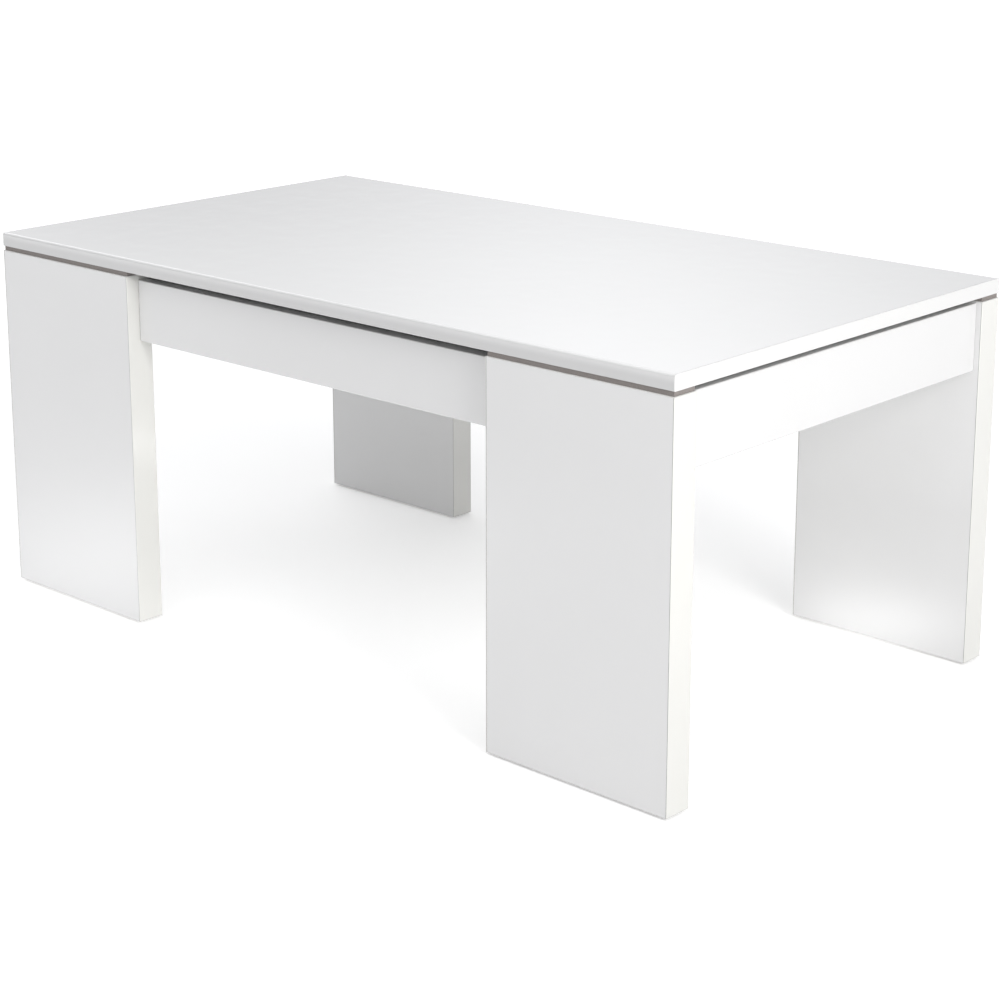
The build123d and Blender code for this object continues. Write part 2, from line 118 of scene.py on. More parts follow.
class Shader:
    """A material's node tree, with short calls for the nodes used here."""

    def __init__(self, name):
        self.material = bpy.data.materials.new(name)
        self.material.use_nodes = True
        self.tree = self.material.node_tree
        self.principled = self.tree.nodes["Principled BSDF"]
        self.place = self.tree.nodes.new("ShaderNodeTexCoord").outputs["Object"]

    def link(self, source, target):
        self.tree.links.new(source, target)

    def noise(self, scale, detail=2.0, stretch=(1, 1, 1)):
        """Noise in metres, drawn out along an axis where stretch is small."""
        mapping = self.tree.nodes.new("ShaderNodeMapping")
        mapping.inputs["Scale"].default_value = stretch
        self.link(self.place, mapping.inputs["Vector"])
        node = self.tree.nodes.new("ShaderNodeTexNoise")
        node.inputs["Scale"].default_value = scale
        node.inputs["Detail"].default_value = detail
        self.link(mapping.outputs["Vector"], node.inputs["Vector"])
        return node.outputs["Fac"]

    def ramp(self, factor, *stops):
        """Colours by a factor from 0 to 1. A stop is (position, colour)."""
        node = self.tree.nodes.new("ShaderNodeValToRGB")
        elements = node.color_ramp.elements
        while len(elements) < len(stops):
            elements.new(0.5)
        for element, (position, colour) in zip(elements, stops):
            element.position = position
            element.color = (*colour, 1.0)
        self.link(factor, node.inputs["Fac"])
        return node.outputs["Color"]

    def tones(self, noise, dark, light):
        """Colours between two tones, by a noise."""
        return self.ramp(noise, (NOISE_LOW, dark), (NOISE_HIGH, light))

    def span(self, noise, low, high):
        """Values between two limits, by a noise."""
        node = self.tree.nodes.new("ShaderNodeMapRange")
        node.inputs["From Min"].default_value = NOISE_LOW
        node.inputs["From Max"].default_value = NOISE_HIGH
        node.inputs["To Min"].default_value = low
        node.inputs["To Max"].default_value = high
        self.link(noise, node.inputs["Value"])
        return node.outputs["Result"]

    def fall(self, colour, low, high, share):
        """Paint shade into a colour: darken it towards a share of itself from a high level down to a low one.
        """
        split = self.tree.nodes.new("ShaderNodeSeparateXYZ")
        self.link(self.place, split.inputs["Vector"])
        fade = self.tree.nodes.new("ShaderNodeMapRange")
        fade.interpolation_type = "SMOOTHSTEP"
        fade.inputs["From Min"].default_value = low * MM
        fade.inputs["From Max"].default_value = high * MM
        fade.inputs["To Min"].default_value = share
        fade.inputs["To Max"].default_value = 1.0
        self.link(split.outputs["Z"], fade.inputs["Value"])
        scale = self.tree.nodes.new("ShaderNodeVectorMath")
        scale.operation = "SCALE"
        self.link(colour, scale.inputs[0])
        self.link(fade.outputs["Result"], scale.inputs["Scale"])
        return scale.outputs["Vector"]

    def bump(self, height, strength, distance, below=None):
        """A bump of a distance in millimetres, on top of another one where below is given."""
        node = self.tree.nodes.new("ShaderNodeBump")
        node.inputs["Strength"].default_value = strength
        node.inputs["Distance"].default_value = distance * MM
        self.link(height, node.inputs["Height"])
        if below is not None:
            self.link(below, node.inputs["Normal"])
        return node.outputs["Normal"]

    def done(self, **values):
        """Set the shader's own sockets: other nodes' sockets are linked, values are set."""
        for key, value in values.items():
            socket = self.principled.inputs[key.replace("_", " ")]
            if isinstance(value, bpy.types.NodeSocket):
                self.link(value, socket)
            else:
                socket.default_value = value
        return self.material


# ------------------------------------------------------------------ materials
CLOUD_DARK, CLOUD_LIGHT = 0.992, 1.006
GLOSS_SPREAD = 0.06


def white_gloss(name, tone, gloss, wave=0.05, stretch=None):
    """High-gloss white film: a slow cloud in the white, a long wave, orange peel, a clear coat.

    stretch is (low level, high level, share of white left at the low one): painted shade, darker from the
    high level down to the low one.
    """
    s = Shader(name)
    dark = tuple(c * CLOUD_DARK for c in tone)
    light = tuple(c * CLOUD_LIGHT for c in tone)
    waves = s.bump(s.noise(9.0, detail=0.0), wave, 0.4)
    white = s.tones(s.noise(7.0, detail=4.0), dark, light)
    if stretch:
        # painted shade: the white darkens down a board's edge below its top arris
        white = s.fall(white, *stretch)
    return s.done(
        Base_Color=white,
        Roughness=s.span(s.noise(30.0, detail=3.0), gloss, gloss + GLOSS_SPREAD),
        Coat_Weight=1.0,
        Coat_Roughness=0.03,
        Coat_IOR=1.8,
        Normal=s.bump(s.noise(420.0, detail=1.0), 0.03, 0.1, below=waves),
    )


def matt_band():
    """Matt white paper band on the cut ends of the boards."""
    s = Shader("matt_end_band")
    return s.done(
        Base_Color=s.tones(s.noise(90.0, detail=4.0), (0.72, 0.715, 0.705), (0.76, 0.755, 0.745)),
        Roughness=s.span(s.noise(300.0), 0.62, 0.74),
        Specular_IOR_Level=0.3,
        Normal=s.bump(s.noise(1200.0, detail=3.0), 0.30, 0.05),
    )


def glue_line():
    """The grey line of hot-melt glue between a panel and its edge band."""
    s = Shader("grey_glue_line")
    return s.done(
        Base_Color=s.tones(s.noise(400.0, detail=3.0), (0.20, 0.20, 0.195), (0.30, 0.30, 0.29)),
        Roughness=s.span(s.noise(900.0), 0.5, 0.65),
    )


def white_melamine():
    """Satin melamine on chipboard: a pearl grain you feel rather than see."""
    s = Shader("white_melamine_satin")
    return s.done(
        Base_Color=s.tones(s.noise(60.0, detail=5.0), (0.74, 0.74, 0.725), (0.79, 0.79, 0.78)),
        Roughness=s.span(s.noise(240.0), 0.36, 0.48),
        Normal=s.bump(s.noise(900.0, detail=3.0), 0.35, 0.06),
    )


def beech():
    """Unfinished beech: pale streaks along the grain with short dark flecks."""
    s = Shader("beech_dowel")
    streaks = s.ramp(
        s.noise(900.0, detail=4.0, stretch=(0.12, 0.12, 1.0)),
        (0.30, (0.46, 0.29, 0.15)),
        (0.52, (0.62, 0.42, 0.25)),
        (0.75, (0.70, 0.52, 0.33)),
    )
    return s.done(Base_Color=streaks, Roughness=0.62, Normal=s.bump(s.noise(1600.0), 0.4, 0.05))


def zinc():
    """Bright zinc plating on die casting: a blotchy tint and a fine crystalline dullness."""
    s = Shader("zinc_plated")
    tint = s.tones(s.noise(160.0, detail=4.0), (0.50, 0.52, 0.55), (0.68, 0.68, 0.66))
    return s.done(
        Base_Color=tint,
        Metallic=1.0,
        Roughness=s.span(s.noise(500.0, detail=3.0), 0.22, 0.42),
        Normal=s.bump(s.noise(1400.0), 0.15, 0.03),
    )


def white_plastic():
    """Moulded white plastic: slightly creamy, with a spark-eroded grain."""
    s = Shader("white_moulded_plastic")
    return s.done(
        Base_Color=s.tones(s.noise(80.0), (0.74, 0.74, 0.71), (0.79, 0.79, 0.765)),
        Roughness=s.span(s.noise(700.0), 0.34, 0.46),
        Subsurface_Weight=0.12,
        Subsurface_Scale=0.001,
        Normal=s.bump(s.noise(2200.0), 0.20, 0.03),
    )


def foam_strip():
    """Matt foam rubber with its cut cells; its dark grey-brown is painted shade, standing in for the shadow
    in the gap under the top.
    """
    s = Shader("foam_rubber_gap_shade")
    return s.done(
        Base_Color=s.tones(s.noise(700.0, detail=3.0), (0.250, 0.228, 0.216), (0.298, 0.274, 0.262)),
        Roughness=s.span(s.noise(900.0), 0.80, 0.95),
        Specular_IOR_Level=0.2,
        Normal=s.bump(s.noise(1400.0, detail=2.0), 0.35, 0.06),
    )


def powder_coat():
    """Grey powder coat: a fine leathery texture with slightly lighter specks."""
    s = Shader("grey_powder_coat")
    texture = s.noise(1100.0, detail=2.0)
    return s.done(
        Base_Color=s.ramp(s.noise(2600.0), (0.35, (0.135, 0.140, 0.146)), (0.75, (0.185, 0.190, 0.196))),
        Roughness=s.span(texture, 0.42, 0.56),
        Normal=s.bump(texture, 0.45, 0.10),
    )


def bright_steel():
    """Turned and zinc plated steel: tight tool rings around the X axis and a soft tarnish."""
    s = Shader("bright_turned_steel")
    rings = s.noise(5200.0, detail=1.0, stretch=(1.0, 0.06, 0.06))
    return s.done(
        Base_Color=s.tones(s.noise(220.0, detail=3.0), (0.58, 0.585, 0.60), (0.72, 0.72, 0.715)),
        Metallic=1.0,
        Roughness=s.span(rings, 0.20, 0.34),
        Anisotropic=0.4,
        Normal=s.bump(rings, 0.12, 0.02),
    )


def spring_steel():
    """Oil-tempered spring wire: dark blue grey, drawn streaks, a film of oil."""
    s = Shader("oiled_spring_wire")
    streak = s.noise(1500.0, detail=3.0, stretch=(1.0, 0.25, 0.25))
    return s.done(
        Base_Color=s.tones(streak, (0.10, 0.105, 0.115), (0.22, 0.22, 0.225)),
        Metallic=1.0,
        Roughness=s.span(streak, 0.26, 0.40),
        Coat_Weight=0.4,
        Coat_Roughness=0.12,
        Normal=s.bump(streak, 0.15, 0.02),
    )


def black_nylon():
    """Moulded black nylon with a dull bloom."""
    s = Shader("black_nylon_moulded")
    return s.done(
        Base_Color=s.tones(s.noise(350.0), (0.012, 0.012, 0.013), (0.024, 0.024, 0.025)),
        Roughness=s.span(s.noise(900.0), 0.42, 0.60),
        Normal=s.bump(s.noise(1800.0), 0.25, 0.03),
    )


BOARD_WHITE = (0.80, 0.80, 0.80)
BAND_WHITE = (0.805, 0.803, 0.770)
TOP_BAND_WHITE = (0.80, 0.80, 0.795)
# Painted shade on the slab: its white falls to 0.79 from 430.5 mm down to 420 mm, lightest at the top arris.
TOP_PAINTED_SHADE = (420.0, 430.5, 0.79)
BOARD_GLOSS, BAND_GLOSS = 0.16, 0.20
TOP_WAVE = 0.012
MATERIALS = {
    "top_slab": white_gloss(
        "white_gloss_top", BOARD_WHITE, BOARD_GLOSS, wave=TOP_WAVE, stretch=TOP_PAINTED_SHADE,
    ),
    "top_band": white_gloss("white_gloss_top_band", TOP_BAND_WHITE, BAND_GLOSS),
    "white_gloss_board": white_gloss("white_gloss_lacquer", BOARD_WHITE, BOARD_GLOSS),
    "white_edge_band": white_gloss("white_gloss_band", BAND_WHITE, BAND_GLOSS),
    "matt_band": matt_band(),
    "glue_line": glue_line(),
    "white_melamine": white_melamine(),
    "beech": beech(),
    "zinc_fitting": zinc(),
    "white_plastic": white_plastic(),
    "foam_strip": foam_strip(),
    "grey_coated_steel": powder_coat(),
    "bright_steel": bright_steel(),
    "spring_steel": spring_steel(),
    "black_nylon": black_nylon(),
}


# ------------------------------------------------------------------ mesh helpers
def finish(name, bm, slot, body, nodes, sharp=40.0, even=True, look=None):
    """Turn a bmesh in millimetres into a piece that rides on a body and stands for CAD nodes.

    look names a material other than the slot's own. A piece with no body is attached to none.
    """
    bmesh.ops.remove_doubles(bm, verts=bm.verts, dist=0.002)
    bmesh.ops.recalc_face_normals(bm, faces=bm.faces)
    bm.transform(Matrix.Scale(MM, 4))
    mesh = bpy.data.meshes.new(name)
    bm.to_mesh(mesh)
    bm.free()
    mesh.materials.append(MATERIALS[look or slot])
    mesh.shade_smooth()
    mesh.set_sharp_from_angle(angle=math.radians(sharp))
    piece = bpy.data.objects.new(name, mesh)
    bpy.context.scene.collection.objects.link(piece)
    if even:
        piece.modifiers.new("even_shading", "WEIGHTED_NORMAL").keep_sharp = True
    if body:
        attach(piece, body)
    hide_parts(*nodes)
    return piece


def boards(name, shells, slot, body, nodes, segments=6, look=None):
    """Rectangular boards as one piece, with rounded edges.

    A shell is (low, high, radius_of), and radius_of takes an edge's direction from the middle.
    """
    bm = bmesh.new()
    weight = bm.edges.layers.float.new("bevel_weight_edge")
    radii = {}
    for low, high, radius_of in shells:
        size, centre = high - low, (high + low) / 2
        matrix = Matrix.Translation(centre) @ Matrix.Diagonal((*size, 1))
        made = bmesh.ops.create_cube(bm, size=1.0, matrix=matrix)
        for edge in {edge for vert in made["verts"] for edge in vert.link_edges}:
            middle = (edge.verts[0].co + edge.verts[1].co) / 2 - centre
            radii[edge] = radius_of(Vector(2 * middle[axis] / size[axis] for axis in range(3)))
    widest = max(radii.values())
    for edge, radius in radii.items():
        edge[weight] = radius / widest
    piece = finish(name, bm, slot, body, nodes, sharp=180.0, even=False, look=look)
    bevel = piece.modifiers.new("arrises", "BEVEL")
    bevel.width = widest * MM
    bevel.segments = segments
    bevel.limit_method = "WEIGHT"
    bevel.harden_normals = True
    bevel.use_clamp_overlap = False
    return piece


def aim(origin, direction):
    """A matrix that puts Z along a direction from an origin."""
    turn = Vector(direction).to_track_quat("Z", "Y").to_matrix().to_4x4()
    return Matrix.Translation(origin) @ turn


def lathe(bm, place, profile, closed=False, segments=40, flutes=0, flute_depth=0.0):
    """Turn (radius, height) points about the Z axis of a matrix; closed joins the last to the first."""
    rings = []
    for radius, height in profile:
        if radius == 0:
            rings.append([bm.verts.new(place @ Vector((0, 0, height)))])
            continue
        ring = []
        for step in range(segments):
            turn = 2 * math.pi * step / segments
            r = radius * (1 + flute_depth * math.cos(flutes * turn))
            ring.append(bm.verts.new(place @ Vector((r * math.cos(turn), r * math.sin(turn), height))))
        rings.append(ring)
    pairs = list(zip(rings, rings[1:]))
    if closed:
        pairs.append((rings[-1], rings[0]))
    for low, high in pairs:
        for step in range(segments):
            after = (step + 1) % segments
            corners = [
                low[step % len(low)], low[after % len(low)], high[after % len(high)], high[step % len(high)],
            ]
            corners = list(dict.fromkeys(corners))
            if len(corners) > 2:
                bm.faces.new(corners)


def arc(centre, radius, start, end, steps):
    """Points on an arc in the plane, from a start to an end angle in degrees."""
    angles = [math.radians(start + (end - start) * step / steps) for step in range(steps + 1)]
    return [(centre[0] + radius * math.cos(a), centre[1] + radius * math.sin(a)) for a in angles]


def rounded_box(low, high, radii, steps=6):
    """Outline of a rectangle with a radius at each corner, from the lowest corner anticlockwise."""
    corners = [(low[0], low[1]), (high[0], low[1]), (high[0], high[1]), (low[0], high[1])]
    inward = [(1, 1), (-1, 1), (-1, -1), (1, -1)]
    points = []
    for number, ((x, y), (dx, dy), radius) in enumerate(zip(corners, inward, radii)):
        start = 180 + 90 * number
        points += arc((x + dx * radius, y + dy * radius), radius, start, start + 90, steps)
    return points


def slot_outline(a, b, radius, steps=16):
    """Outline of a bar with round ends about two points."""
    turn = math.degrees(math.atan2(b[1] - a[1], b[0] - a[0]))
    return arc(b, radius, turn - 90, turn + 90, steps) + arc(a, radius, turn + 90, turn + 270, steps)


def walls(bm, low, high):
    """Close the sides between two rings of vertices."""
    for step in range(len(low)):
        after = (step + 1) % len(low)
        bm.faces.new((low[step], low[after], high[after], high[step]))


def stack(bm, place, outline, levels):
    """Build an outline up in Z: each level is (height, how far its sides are drawn in)."""
    xs, ys = [p[0] for p in outline], [p[1] for p in outline]
    centre = Vector(((min(xs) + max(xs)) / 2, (min(ys) + max(ys)) / 2))
    half = Vector(((max(xs) - min(xs)) / 2, (max(ys) - min(ys)) / 2))
    rings = []
    for height, inset in levels:
        scale = Vector((1 - inset / half.x, 1 - inset / half.y))
        rings.append([
            bm.verts.new(place @ Vector((
                centre.x + (x - centre.x) * scale.x, centre.y + (y - centre.y) * scale.y, height,
            )))
            for x, y in outline
        ])
    for low, high in zip(rings, rings[1:]):
        walls(bm, low, high)
    bm.faces.new(rings[0])
    bm.faces.new(rings[-1])


def add_curve(bm, place, lines, cyclic, **settings):
    """Add the mesh of a bevelled curve through lists of points."""
    curve = bpy.data.curves.new("curve", "CURVE")
    for key, value in settings.items():
        setattr(curve, key, value)
    for points in lines:
        spline = curve.splines.new("POLY")
        spline.points.add(len(points) - 1)
        for point, where in zip(spline.points, points):
            point.co = (*where, 1) if len(where) == 3 else (*where, 0, 1)
        spline.use_cyclic_u = cyclic
    holder = bpy.data.objects.new("curve", curve)
    mesh = bpy.data.meshes.new_from_object(holder)
    mesh.transform(place)
    bm.from_mesh(mesh)
    bpy.data.objects.remove(holder)
    bpy.data.curves.remove(curve)
    bpy.data.meshes.remove(mesh)


def sheet(bm, place, thickness, outline, holes, soften):
    """A flat sheet with softened edges and round holes (x, y, radius), upwards from Z = 0."""
    circles = [arc((x, y), radius, 0, 360, 36)[:-1] for x, y, radius in holes]
    add_curve(
        bm, place @ Matrix.Translation((0, 0, thickness / 2)), [outline, *circles], True,
        dimensions="2D", fill_mode="BOTH", extrude=thickness / 2 - soften,
        bevel_depth=soften, bevel_resolution=2, offset=-soften,
    )


def wire(bm, points, radius):
    """A round wire through points."""
    add_curve(
        bm, Matrix.Identity(4), [points], False,
        dimensions="3D", bevel_depth=radius, bevel_resolution=4, use_fill_caps=True,
    )


def upright(side, x):
    """A matrix from (y, z, outward) to the model's frame, on one side of the table."""
    return Matrix(((0, 0, side, side * x), (1, 0, 0, 0), (0, 1, 0, 0), (0, 0, 0, 1)))


# ------------------------------------------------------------------ legs, aprons, floor and top
BAND_T = 1.0
END_BAND_T = 0.6
GLUE_W, GLUE_DEPTH = 0.35, 0.05
LEG_ARRIS = 0.7
SEAM_ARRIS = 0.25
END_SOFT = 0.4
END_ARRIS = 0.7
JOINT_GAP = 0.3
APRON_ARRIS = 1.0
FLOOR_ARRIS = 0.5
TOP_ROUND = 3.0  # the CAD has 2.0; the wider one carries the thin highlight better
TOP_UNDER_ARRIS = 1.0
TOP_END_ROUND, TOP_END_INSET = 0.5, 0.42
TOP_SEAM = 0.12
REST_ARRIS = 0.5


def leg(node):
    """A leg panel: edge bands on its narrow sides, a glue line beside each, matt bands on its ends."""
    low, high = box(node)
    floor_z, top_z = low.z + END_BAND_T, high.z - END_BAND_T
    seam = BAND_T + GLUE_W

    def core_radius(where):
        return SEAM_ARRIS if abs(where.x) > 0.5 or abs(where.z) > 0.5 else LEG_ARRIS

    core = (Vector((low.x + seam, low.y, floor_z)), Vector((high.x - seam, high.y, top_z)), core_radius)
    boards(f"{node}_panel", [core], "white_gloss_board", "base", [node])
    bands, glue, ends = [], [], []
    for side, edge in ((-1, low.x), (1, high.x)):
        def band_radius(where, side=side):
            return LEG_ARRIS if where.x * side > 0.5 and abs(where.z) < 0.5 else SEAM_ARRIS

        band_x = sorted((edge, edge - side * BAND_T))
        glue_x = sorted((edge - side * BAND_T, edge - side * seam))
        bands.append((Vector((band_x[0], low.y, floor_z)), Vector((band_x[1], high.y, top_z)), band_radius))
        glue.append((
            Vector((glue_x[0], low.y + GLUE_DEPTH, floor_z)), Vector((glue_x[1], high.y - GLUE_DEPTH, top_z)),
            lambda where: GLUE_DEPTH,
        ))
    for side, start, end in ((-1, low.z, floor_z), (1, top_z, high.z)):
        def end_radius(where, side=side):
            return END_SOFT if where.z * side > 0.5 or abs(where.z) < 0.5 else SEAM_ARRIS / 2

        ends.append((Vector((low.x, low.y, start)), Vector((high.x, high.y, end)), end_radius))
    boards(f"{node}_bands", bands, "white_edge_band", "base", [node], segments=4)
    boards(f"{node}_glue_lines", glue, "white_edge_band", "base", [node], segments=1, look="glue_line")
    boards(f"{node}_ends", ends, "white_edge_band", "base", [node], segments=3, look="matt_band")


def apron(node, long_axis):
    """An apron board, a hair short of the legs at both ends."""
    low, high = box(node)
    low[long_axis] += JOINT_GAP
    high[long_axis] -= JOINT_GAP

    def radius(where):
        return END_ARRIS if abs(where[long_axis]) > 0.5 else APRON_ARRIS

    boards(f"{node}_board", [(low, high, radius)], "white_gloss_board", "base", [node])


def storage_floor():
    """The board that closes the apron box from below."""
    low, high = box("storage_floor")
    boards(
        "storage_floor_board", [(low, high, lambda where: FLOOR_ARRIS)],
        "white_melamine", "base", ["storage_floor"], segments=3,
    )


def table_top():
    """The slab, with rounded arrises along its long sides, and the band on each end."""
    low, high = box("table_top")

    def radius(where):
        if abs(where.x) > 0.5:
            return SEAM_ARRIS / 2
        return TOP_ROUND if where.z > 0.5 else TOP_UNDER_ARRIS

    boards(
        "table_top_slab", [(low, high, radius)], "white_gloss_board", "top", ["table_top"],
        segments=10, look="top_slab",
    )

    low, high = box("top_edge_bands")
    outline = rounded_box(
        (low.y, low.z), (high.y, high.z), (TOP_UNDER_ARRIS, TOP_UNDER_ARRIS, TOP_ROUND, TOP_ROUND), 10,
    )
    levels = [(0, TOP_SEAM), (TOP_SEAM, 0)] + [
        (BAND_T - TOP_END_ROUND + TOP_END_ROUND * math.sin(a), TOP_END_ROUND - TOP_END_ROUND * math.cos(a))
        for a in (math.radians(step * 15) for step in range(6))
    ] + [(BAND_T, TOP_END_INSET)]
    bm = bmesh.new()
    for side in SIDES.values():
        stack(bm, upright(side, high.x - BAND_T), outline, levels)
    finish("top_end_bands", bm, "white_edge_band", "top", ["top_edge_bands"], sharp=60.0, look="top_band")


for depth in ("front", "rear"):
    for hand in SIDES:
        leg(f"leg_{depth}_{hand}")
    apron(f"apron_{depth}", 0)
for hand in SIDES:
    apron(f"apron_{hand}", 1)
storage_floor()
table_top()


# ------------------------------------------------------------------ small fittings
def cam_caps():
    """Domed press-on covers: over the cams on the aprons' inner faces and under the floor."""
    bm = bmesh.new()
    lowest, highest = box("cam_caps")
    middle = (lowest.z + highest.z) / 2
    for low, high in solids("cam_caps"):
        size, centre = high - low, (low + high) / 2
        axis = min(range(3), key=lambda index: size[index])
        radius, depth = size[(axis + 1) % 3] / 2, size[axis]
        outward = Vector((0, 0, 0))
        outward[axis] = -1.0 if axis == 2 and centre.z < middle or axis < 2 and centre[axis] > 0 else 1.0
        profile = [
            (0, 0), (radius - 0.3, 0), (radius, 0.25), (radius, 0.55), (radius - 0.35, 0.85),
            (radius * 0.8, depth - 0.12), (radius * 0.5, depth - 0.03), (1.6, depth), (1.1, depth - 0.35),
            (0, depth - 0.4),
        ]
        lathe(bm, aim(centre - outward * depth / 2, outward), profile)
    finish("cam_cap_covers", bm, "white_plastic", "base", ["cam_caps"])


DOWEL_CHAMFER = 1.0
FLUTED, FLUTE_DEPTH = 0.975, 0.02  # shares of the dowel's radius: the flutes' mean, and their wave


def dowels():
    """Fluted dowels with chamfered ends."""
    bm = bmesh.new()
    for low, high in solids("dowels"):
        size = high - low
        axis = max(range(3), key=lambda index: size[index])
        radius, length = size[(axis + 1) % 3] / 2, size[axis]
        along = Vector((0, 0, 0))
        along[axis] = 1.0
        start = (low + high) / 2 - along * length / 2
        end_r, mean_r = radius - DOWEL_CHAMFER, radius * FLUTED
        profile = [
            (0, 0), (end_r, 0), (mean_r, DOWEL_CHAMFER), (mean_r, length - DOWEL_CHAMFER),
            (end_r, length), (0, length),
        ]
        lathe(bm, aim(start, along), profile, segments=60, flutes=15, flute_depth=FLUTE_DEPTH)
    finish("fluted_dowels", bm, "beech", "base", ["dowels"])


NAIL_R, NAIL_HOLE, NAIL_BORE = 1.0, 1.1, 3.2
NAIL_SEAT, NAIL_POINT, NAIL_TIP = 1.1, 11.0, 13.0  # heights above the sole


def glides():
    """Turned glides with a soft sole and a hole for the nail, and the nail's domed head."""
    bm = bmesh.new()
    nails = bmesh.new()
    for low, high in solids("leg_glides"):
        centre = (low + high) / 2
        radius, height = (high - low).x / 2, (high - low).z
        place = aim(Vector((centre.x, centre.y, low.z)), Z_AXIS)
        profile = [
            (NAIL_HOLE, height), (NAIL_HOLE, NAIL_SEAT), (NAIL_BORE, NAIL_SEAT), (NAIL_BORE, 0.25),
            (NAIL_BORE + 0.3, 0), (radius - 1.2, 0), (radius - 0.5, 0.18), (radius - 0.1, 0.6),
            (radius, 1.1), (radius, height),
        ]
        lathe(bm, place, profile, closed=True)
        head = [
            (0, 0.3), (1.2, 0.34), (2.2, 0.48), (2.8, 0.75), (3.0, 1.05), (NAIL_R, NAIL_SEAT),
            (NAIL_R, NAIL_POINT), (0, NAIL_TIP),
        ]
        lathe(nails, place, head, segments=24)
    finish("glide_discs", bm, "white_plastic", "base", ["leg_glides"])
    finish("glide_nail_heads", nails, "zinc_fitting", "base", ["glide_nails"])


def rest_strips():
    """Soft strips along the leg tops that carry the closed top; their dark colour is painted shade for the
    gap under it.
    """
    strips = [(low, high, lambda where: REST_ARRIS) for low, high in solids("top_bumpers")]
    boards("top_rest_strips", strips, "foam_strip", "base", ["top_bumpers"], segments=3)


cam_caps()
dowels()
glides()
rest_strips()


# ------------------------------------------------------------------ screws, pins and studs
HEAD_R = 4.0
PAN_HEAD = 1.8
SCREW_R = 1.9
THREAD_DEPTH, THREAD_W, THREAD_PITCH = 0.5, 0.9, 1.4
RECESS_RING = 2.7
CROSS_REACH, CROSS_HALF = 2.2, 0.42
CROSS_DEPTH, CROSS_TAPER = 1.2, 0.62


def cross_recess(bm, place, segments):
    """The flat middle of a screw head, inside a ring, with a tapered cross sunk into it."""
    def plus(scale, z):
        a, b = CROSS_HALF * scale, CROSS_REACH * scale
        quarter = [(b, -a), (b, a), (a, a)]
        points = []
        for turn in range(4):
            c, s = math.cos(turn * math.pi / 2), math.sin(turn * math.pi / 2)
            points += [(x * c - y * s, x * s + y * c) for x, y in quarter]
        return [bm.verts.new(place @ Vector((x, y, z))) for x, y in points]

    circle = arc((0, 0), RECESS_RING, 0, 360, segments)[:-1]
    edge = [bm.verts.new(place @ Vector((x, y, 0.0))) for x, y in circle]
    mouth, pit = plus(1.0, 0.0), plus(CROSS_TAPER, CROSS_DEPTH)
    loops = [bm.edges.new((a, b)) for loop in (edge, mouth) for a, b in zip(loop, loop[1:] + loop[:1])]
    bmesh.ops.triangle_fill(bm, edges=loops, use_beauty=True)
    walls(bm, mouth, pit)
    bm.faces.new(pit)


def screw(bm, start, direction, length, countersunk):
    """A screw from the face of its head: head with a cross recess, threaded shank and a point."""
    segments = 32
    place = aim(start, direction)
    if countersunk:
        head = [(RECESS_RING, 0.0), (HEAD_R - 0.15, 0.0), (HEAD_R, 0.18), (SCREW_R, 1.9)]
    else:
        head = [
            (RECESS_RING, 0.0), (3.2, 0.12), (3.65, 0.42), (3.9, 0.9), (HEAD_R, PAN_HEAD - 0.2),
            (HEAD_R - 0.2, PAN_HEAD), (SCREW_R, PAN_HEAD),
        ]
    thread = []
    root, height = SCREW_R - THREAD_DEPTH, head[-1][1] + 0.8
    while height < length - 3:
        thread += [(root, height), (SCREW_R, height + THREAD_W / 2), (root, height + THREAD_W)]
        height += THREAD_PITCH
    cross_recess(bm, place, segments)
    lathe(bm, place, head + thread + [(SCREW_R - 0.6, length - 2), (0, length)], segments=segments)


def facing_out(low, high):
    """The side of the table that a solid is on, -1 or 1, and its X nearest the middle."""
    side = 1 if low.x + high.x > 0 else -1
    return side, min(abs(low.x), abs(high.x))


def screws():
    """The screws through the brackets, into the aprons and the floor, and those into the top."""
    plate = bmesh.new()
    for low, high in solids("base_plate_screws"):
        size, centre = high - low, (low + high) / 2
        if size.x > size.z:
            side, inner = facing_out(low, high)
            screw(plate, Vector((side * inner, centre.y, centre.z)), X_AXIS * side, size.x, True)
        else:
            screw(plate, Vector((centre.x, centre.y, high.z)), -Z_AXIS, size.z, False)
    finish("plate_screws", plate, "zinc_fitting", "base", ["base_plate_screws"], sharp=50.0)
    rail = bmesh.new()
    for low, high in solids("top_rail_screws"):
        centre = (low + high) / 2
        screw(rail, Vector((centre.x, centre.y, low.z)), Z_AXIS, (high - low).z, False)
    finish("rail_screws", rail, "zinc_fitting", "top", ["top_rail_screws"], sharp=50.0)


def domed(radius, thickness):
    """Profile of a rivet head: a low dome with a soft rim, from its crown to its underside."""
    dome = thickness * 0.42
    crown = [(radius * 0.92 * t, dome * t * t) for t in (0, 0.2, 0.4, 0.6, 0.8, 1.0)]
    return crown + [(radius, dome + 0.35), (radius, thickness - 0.25), (radius - 0.25, thickness)]


def turned(name, node, body, profile_of):
    """Turned parts along X, one for each solid of a node, made from its inner end outwards."""
    bm = bmesh.new()
    for low, high in solids(node):
        centre = (low + high) / 2
        side, inner = facing_out(low, high)
        place = aim(Vector((side * inner, centre.y, centre.z)), X_AXIS * side)
        lathe(bm, place, profile_of((high - low).x))
    finish(name, bm, "bright_steel", body, [node])


PIN_R, PIN_CHAMFER = 4.0, 0.6
RIVET_R = 7.0
LONG_HEAD, SHORT_HEAD = 3.0, 2.3
PEEN_R, PEEN_T = 5.5, 1.3
STUD_R, GROOVE_R = 2.5, 2.2
STUD_HEAD_R, STUD_HEAD = 4.0, 1.5


def pivot_pin(head):
    """A profile for a pin with a domed head of some thickness and a chamfered tail."""
    def profile(length):
        shank = [(PIN_R, head), (PIN_R, length - PIN_CHAMFER), (PIN_R - PIN_CHAMFER, length)]
        return domed(RIVET_R, head) + shank + [(0, length)]

    return profile


